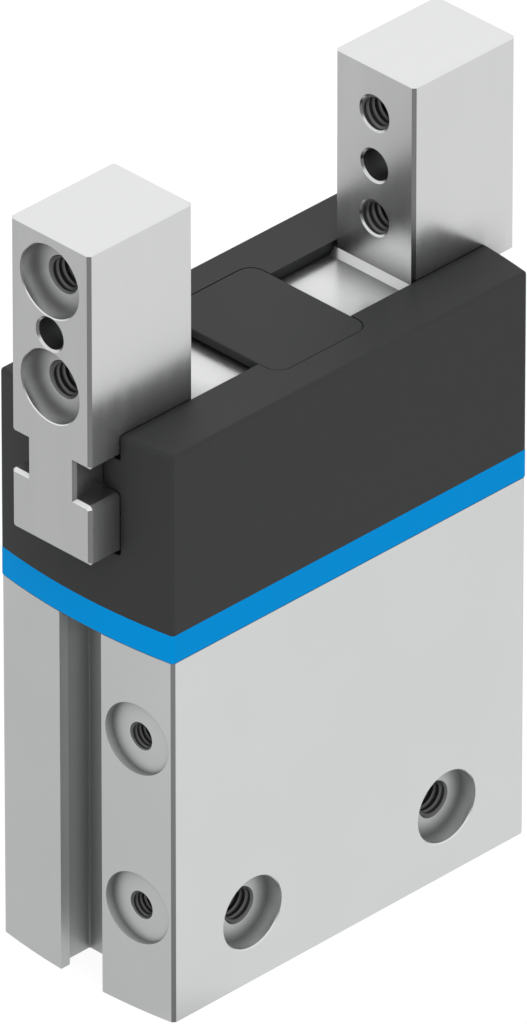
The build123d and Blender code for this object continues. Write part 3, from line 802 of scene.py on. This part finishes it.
@dataclass(frozen=True)
class TappedHole:
    """The screw thread that lines one tapped hole, in millimetres from the frame's origin.

    Its turns join into one threaded sleeve that stands proud of the wall and is sunk a little into it, and a cone
    lines the chamfer at the mouth. A blind thread leaves a small gap free at the foot of its hole.
    """

    mouth: Vector
    inward: Vector
    wall_radius: float
    length: float
    through: bool
    steps_per_turn: int = 32
    sunk: float = 0.03
    proud: float = 0.02
    blind_gap: float = 0.1
    spare_turns: float = 1.0  # swept past each end, then cut off
    merge_reach: float = 1e-4
    cut_reach: float = 1e-6
    # The rest of the thread's profile is in pitches: how far its crest stands out, and where its crest, its flank
    # and the turn end, from the crest's middle.
    crest_height: float = 0.3
    crest_end: float = 0.06
    flank_end: float = 0.3
    turn_end: float = 0.5
    # The cone's outer rim, in thicknesses of the cone.
    rim_depth: float = 0.2
    rim_inside: float = 0.6
    rim_outside: float = 0.4

    @property
    def size(self) -> ThreadSize:
        """The thread's size."""
        return ThreadSize.of(self.wall_radius)

    def cut(self, mesh: bmesh.types.BMesh) -> None:
        """Adds the thread to a mesh.

        Args:
            mesh: The mesh that takes it, in metres.
        """
        thread = self._sleeve()
        pour(self._cone(), thread)
        turn = Vector((0.0, 0.0, 1.0)).rotation_difference(self.inward).to_matrix().to_4x4()
        place = Matrix.Scale(MM, 4) @ Matrix.Translation(self.mouth) @ turn
        bmesh.ops.transform(thread, matrix=place, verts=thread.verts)
        pour(thread, mesh)

    def _spin(
        self, mesh: bmesh.types.BMesh, line: Sequence[tuple[float, float]], steps: int, ring: bool, climb: float
    ) -> None:
        """Sweeps a line round the Z axis, as a closed ring or as a helix.

        Args:
            mesh: The mesh that takes the swept faces.
            line: The radius and the depth of each corner.
            steps: How many steps the sweep takes.
            ring: Whether the line and its sweep both close.
            climb: How far each step climbs.
        """
        corners = [mesh.verts.new((radius, 0.0, depth)) for radius, depth in line]
        pairs = zip(corners[-1:] + corners[:-1], corners) if ring else zip(corners, corners[1:])
        edges = [mesh.edges.new(pair) for pair in pairs]
        bmesh.ops.spin(
            mesh,
            geom=corners + edges,
            cent=(0.0, 0.0, 0.0),
            axis=(0.0, 0.0, 1.0),
            dvec=(0.0, 0.0, climb),
            angle=FULL_TURN * steps / self.steps_per_turn,
            steps=steps,
            use_merge=ring,
            use_duplicate=False,
        )

    def _sleeve(self) -> bmesh.types.BMesh:
        """Sweeps the inner and the outer line of one turn along a right-hand helix and closes both ends.

        Returns:
            The sleeve, with its mouth at the origin and its depth along Z.
        """
        sleeve = bmesh.new()
        pitch, chamfer = self.size.pitch, self.size.chamfer
        crest = self.wall_radius - self.crest_height * pitch
        root = self.wall_radius - self.proud
        outer = self.wall_radius + self.sunk
        inner_line = [
            (root, -self.turn_end),
            (root, -self.flank_end),
            (crest, -self.crest_end),
            (crest, self.crest_end),
            (root, self.flank_end),
            (root, self.turn_end),
        ]
        outer_line = [(outer, -self.turn_end), (outer, self.turn_end)]
        turns = self.length / pitch + 2.0 * self.spare_turns
        steps = round(turns * self.steps_per_turn)
        for profile in (inner_line, outer_line):
            line = [(radius, (level - self.spare_turns) * pitch) for radius, level in profile]
            self._spin(sleeve, line, steps, ring=False, climb=pitch / self.steps_per_turn)
        bmesh.ops.remove_doubles(sleeve, verts=sleeve.verts, dist=self.merge_reach)
        far = self.length - (chamfer if self.through else self.blind_gap)
        for level, way in ((chamfer, -1.0), (far, 1.0)):
            split = bmesh.ops.bisect_plane(
                sleeve,
                geom=sleeve.verts[:] + sleeve.edges[:] + sleeve.faces[:],
                dist=self.cut_reach,
                plane_co=(0.0, 0.0, level),
                plane_no=(0.0, 0.0, way),
                clear_outer=True,
            )
            edges = [e for e in split["geom_cut"] if isinstance(e, bmesh.types.BMEdge)]
            bmesh.ops.triangle_fill(sleeve, edges=edges, normal=(0.0, 0.0, way))
        bmesh.ops.recalc_face_normals(sleeve, faces=sleeve.faces)
        return sleeve

    def _cone(self) -> bmesh.types.BMesh:
        """Makes the thin cone that lines the chamfer at the mouth.

        Returns:
            The cone, with its mouth at the origin and its depth along Z.
        """
        cone = bmesh.new()
        chamfer = self.size.chamfer
        wide = self.wall_radius + chamfer
        thick = self.sunk
        line = [
            (wide - self.rim_inside * thick, self.rim_depth * thick),
            (self.wall_radius - self.proud, chamfer),
            (self.wall_radius + thick, chamfer + thick),
            (wide + self.rim_outside * thick, self.rim_depth * thick + thick),
        ]
        self._spin(cone, line, self.steps_per_turn, ring=True, climb=0.0)
        bmesh.ops.recalc_face_normals(cone, faces=cone.faces)
        return cone


@dataclass
class SubAssembly:
    """Solids that are dressed together."""

    name: str
    solids: dict[str, Surface]

    def build(self, shop: PaintShop) -> list[bpy.types.Object]:
        """Dresses the solids.

        Args:
            shop: Where the materials come from.

        Returns:
            The new pieces, none here.
        """
        for node, surface in self.solids.items():
            shop.dress_solid(node, surface)
        return []


@dataclass
class TappedAssembly(SubAssembly):
    """Solids of one metal and one body with screw threads cut into them."""

    body: str
    thread_names: tuple[str, ...]
    metal: Surface
    through: bool

    def tapped_holes(self) -> list[TappedHole]:
        """Reads this sub-assembly's tapped holes from the record.

        Returns:
            One entry for each hole.
        """
        holes = []
        for mount in frame["record"]["mounts"]:
            if mount["kind"] != "threaded_hole" or not mount["name"].startswith(self.thread_names):
                continue
            outward = Vector(mount["axis"])
            length = mount["dims"]["length_mm"]
            mouth = Vector(mount["pos_m"]) / MM + outward * length / 2
            holes.append(TappedHole(mouth, -outward, mount["dims"]["r_mm"], length, self.through))
        return holes

    def build(self, shop: PaintShop) -> list[bpy.types.Object]:
        """Dresses the solids and makes the threads.

        Args:
            shop: Where the materials come from.

        Returns:
            The piece with the threads.
        """
        super().build(shop)
        mesh = bmesh.new()
        holes = self.tapped_holes()
        for hole in holes:
            hole.cut(mesh)
        piece = put_mesh(f"{self.name}_threads", mesh)
        shop.dress_piece(piece, Surface.TAPPED)
        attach(piece, self.body)
        log.info("%s: %d threads, %d faces", piece.name, len(holes), len(piece.data.polygons))
        return [piece]


@dataclass
class FixedBody(TappedAssembly):
    """Housing, colour band, cap and cover plate."""

    name: str = "housing"
    solids: dict[str, Surface] = field(
        default_factory=lambda: {
            "housing": Surface.ALUMINIUM,
            "colour_band": Surface.BAND,
            "cover_cap": Surface.CAP,
            "cover_plate": Surface.CAP,
        }
    )
    body: str = "base"
    thread_names: tuple[str, ...] = ("front_", "back_", "base_", "air_port_")
    metal: Surface = Surface.ALUMINIUM
    through: bool = False


@dataclass
class Jaw(TappedAssembly):
    """One jaw with its two through threads."""

    metal: Surface = Surface.GROUND_STEEL
    through: bool = True

    @classmethod
    def on(cls, side: Side) -> Jaw:
        """Describes the jaw of one side.

        Args:
            side: The end of the gripper that carries it.

        Returns:
            The jaw.
        """
        name = f"jaw_{side.value}"
        return cls(name=name, solids={name: Surface.GROUND_STEEL}, body=name, thread_names=(f"{name}_",))


@dataclass
class CrankDrive(SubAssembly):
    """The bell cranks with their pins and the rod head between them."""

    name: str = "crank_drive"
    solids: dict[str, Surface] = field(
        default_factory=lambda: {
            "lever_left": Surface.HARD_STEEL,
            "lever_right": Surface.HARD_STEEL,
            "lever_pins": Surface.GROUND_STEEL,
            "rod_head": Surface.HARD_STEEL,
        }
    )


@dataclass
class Cylinder(SubAssembly):
    """The piston on its rod, the rod's bush and seal, and the bumpers."""

    name: str = "cylinder"
    solids: dict[str, Surface] = field(
        default_factory=lambda: {
            "piston_rod": Surface.CHROME,
            "piston": Surface.TURNED,
            "piston_seal": Surface.RUBBER,
            "piston_magnet": Surface.MAGNET,
            "piston_guide_ring": Surface.GUIDE,
            "piston_nut": Surface.HARD_STEEL,
            "rod_bush": Surface.BRONZE,
            "rod_seal": Surface.RUBBER,
            "upper_bumper": Surface.RUBBER,
            "lower_bumper": Surface.RUBBER,
        }
    )


@dataclass
class BaseClosure(SubAssembly):
    """The end cap under the piston, its O-ring and its retaining ring."""

    name: str = "base_closure"
    solids: dict[str, Surface] = field(
        default_factory=lambda: {
            "end_cap": Surface.TURNED,
            "end_cap_o_ring": Surface.RUBBER,
            "retaining_ring": Surface.SPRING_STEEL,
        }
    )


@dataclass(frozen=True)
class PhotoCamera:
    """The camera: a long lens that looks down on the gripper's left front corner."""

    place_mm: Rgb = (-1176.97, -1173.44, 1074.6)
    look: Rgb = (0.60084, 0.59910, -0.52921)
    lens_mm: float = 795.94
    sensor_mm: float = 36.0
    nearest: float = 0.1
    farthest: float = 50.0

    def build(self) -> None:
        """Makes the camera and sets it as the scene's own."""
        data = bpy.data.cameras.new("camera")
        data.sensor_width = self.sensor_mm
        data.lens = self.lens_mm
        data.clip_start = self.nearest
        data.clip_end = self.farthest
        camera = put("camera", data)
        camera.location = Vector(self.place_mm) * MM
        camera.rotation_mode = "QUATERNION"
        camera.rotation_quaternion = Vector(self.look).to_track_quat("-Z", "Y")
        bpy.context.scene.camera = camera


@dataclass(frozen=True)
class Studio:
    """A pale floor in a white room, with a soft key light from above the camera."""

    floor_size: float = 12.0
    floor_colour: float = 0.75
    floor_drop: float = 0.02  # millimetres that it lies under the gripper's foot
    camera_share: float = 0.8  # how much of the floor's look the camera takes from plain white
    camera_white: float = 1.04  # the lit floor as the camera sees it
    mirror_level: float = 0.79  # the floor as metal shows it
    shade_patch_level: float = 0.505  # the floor as metal shows it in the painted shade patch at the back left
    shade_patch_middle: float = -26.0  # millimetres, the painted shade patch's middle line is where X + Y has this value
    shade_patch_half: float = 48.0
    shade_patch_fade: float = 20.0
    shade_patch_start: float = 2.0  # millimetres, the patch starts where Y - X has this value
    shade_patch_ramp: float = 12.0
    sky: float = 0.85  # the room's light on the object
    key_way: Rgb = (-0.45, -0.45, 0.77)
    key_level: float = 0.3
    key_spread: float = 40.0

    def build(self) -> None:
        """Makes the floor, the room and the key light."""
        self._floor()
        self._room()
        self._key()

    @staticmethod
    def _rays(wiring: Wiring) -> tuple[bpy.types.NodeSocket, bpy.types.NodeSocket]:
        """Adds a Light Path.

        Args:
            wiring: The wiring of the floor's material or of the world.

        Returns:
            The sockets that are 1 for camera rays, and for rays that metal or glass sends.
        """
        ray = wiring.add("ShaderNodeLightPath").outputs
        mirrored = wiring.maths("MAXIMUM", ray["Is Glossy Ray"], ray["Is Transmission Ray"])
        return ray["Is Camera Ray"], mirrored

    def _floor(self) -> None:
        """Makes the floor, which keeps the shadow and can't be seen from below."""
        mesh = bmesh.new()
        bmesh.ops.create_grid(mesh, x_segments=1, y_segments=1, size=self.floor_size / 2)
        bmesh.ops.translate(mesh, vec=(0.0, 0.0, -self.floor_drop * MM), verts=mesh.verts)
        floor = put_mesh("floor", mesh)
        floor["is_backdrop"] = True
        floor.data.materials.append(self._paper())

    def _paper(self) -> bpy.types.Material:
        """Makes the floor's material.

        Returns:
            The material: white to the camera, the mirror image to metal, and clear from below.
        """
        paper = bpy.data.materials.new("floor_paper")
        paper.use_nodes = True
        paper.cycles.emission_sampling = "NONE"
        wiring = Wiring(paper.node_tree)
        camera, mirrored = self._rays(wiring)
        level, share = self.floor_colour, self.camera_share
        plain = wiring.add("ShaderNodeBsdfDiffuse", {"Color": opaque((level, level, level))})
        strength = (self.camera_white - (1.0 - share) * level) / share
        white = wiring.add("ShaderNodeEmission", {"Strength": strength})
        seen = wiring.maths("MULTIPLY", camera, share)
        shown = wiring.add("ShaderNodeMixShader", {0: seen, 1: plain.outputs[0], 2: white.outputs[0]})
        image = wiring.add("ShaderNodeEmission", {"Strength": self._mirror_image(wiring)})
        above = wiring.add("ShaderNodeMixShader", {0: mirrored, 1: shown.outputs[0], 2: image.outputs[0]})
        below = wiring.add("ShaderNodeBsdfTransparent")
        back = wiring.add("ShaderNodeNewGeometry").outputs["Backfacing"]
        both = wiring.add("ShaderNodeMixShader", {0: back, 1: above.outputs[0], 2: below.outputs[0]})
        wiring.join(both.outputs[0], wiring.tree.nodes["Material Output"].inputs["Surface"])
        return paper

    def _mirror_image(self, wiring: Wiring) -> bpy.types.NodeSocket:
        """Adds the floor's brightness in a mirror, with a darker patch of painted shade at the back left that only
        metal shows.

        Args:
            wiring: The floor material's wiring.

        Returns:
            The socket with the brightness.
        """
        point = wiring.split(wiring.add("ShaderNodeTexCoord").outputs["Object"])
        across = wiring.maths("ADD", point["X"], point["Y"])
        along = wiring.maths("SUBTRACT", point["Y"], point["X"])
        off = wiring.maths("ABSOLUTE", wiring.maths("SUBTRACT", across, self.shade_patch_middle * MM))
        edge = self.shade_patch_half * MM
        inside = wiring.remap(off, (edge, edge + self.shade_patch_fade * MM), (1.0, 0.0))
        start = self.shade_patch_start * MM
        behind = wiring.remap(along, (start, start + self.shade_patch_ramp * MM), (0.0, 1.0))
        # Painted shade: a darker patch in the floor's mirror image, so what faces back left reflects darker.
        shade_patch = wiring.maths("MULTIPLY", inside, behind)
        drop = wiring.maths("MULTIPLY", shade_patch, self.mirror_level - self.shade_patch_level)
        return wiring.maths("SUBTRACT", self.mirror_level, drop)

    def _room(self) -> None:
        """Makes the room: white where it is seen or mirrored, softer as a light."""
        world = bpy.data.worlds.new("room")
        world.use_nodes = True
        bpy.context.scene.world = world
        wiring = Wiring(world.node_tree)
        shown = wiring.maths("MAXIMUM", *self._rays(wiring))
        background = world.node_tree.nodes["Background"].inputs
        background["Color"].default_value = opaque((1.0, 1.0, 1.0))
        wiring.join(wiring.remap(shown, (0.0, 1.0), (self.sky, 1.0)), background["Strength"])

    def _key(self) -> None:
        """Makes the key light, a broad sun that metal doesn't mirror."""
        data = bpy.data.lights.new("key", "SUN")
        data.energy = math.pi * self.key_level
        data.angle = math.radians(self.key_spread)
        light = put("key", data)
        light.visible_glossy = False
        light.rotation_mode = "QUATERNION"
        light.rotation_quaternion = Vector(self.key_way).to_track_quat("Z", "Y")


def note_sizes() -> None:
    boxes = {"cad": CAD_BOX, "visual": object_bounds()}
    plain = {name: [list(corner) for corner in box] for name, box in boxes.items()}
    for name, corners in plain.items():
        log.info("%s box: %s", name, [[round(v / MM, 3) for v in corner] for corner in corners])


def main() -> None:
    """Builds the camera, the studio and every sub-assembly in order."""
    logging.basicConfig(level=logging.INFO, format="%(message)s", stream=sys.stdout)
    bpy.context.scene.view_settings.view_transform = "Standard"
    PhotoCamera().build()
    Studio().build()
    shop = PaintShop()
    parts = [FixedBody(), Jaw.on(Side.LEFT), Jaw.on(Side.RIGHT), CrankDrive(), Cylinder(), BaseClosure()]
    for part in parts:
        pieces = part.build(shop)
        log.info("%s: %d solids, %d new pieces", part.name, len(part.solids), len(pieces))
    note_sizes()


if __name__ == "__main__":
    main()
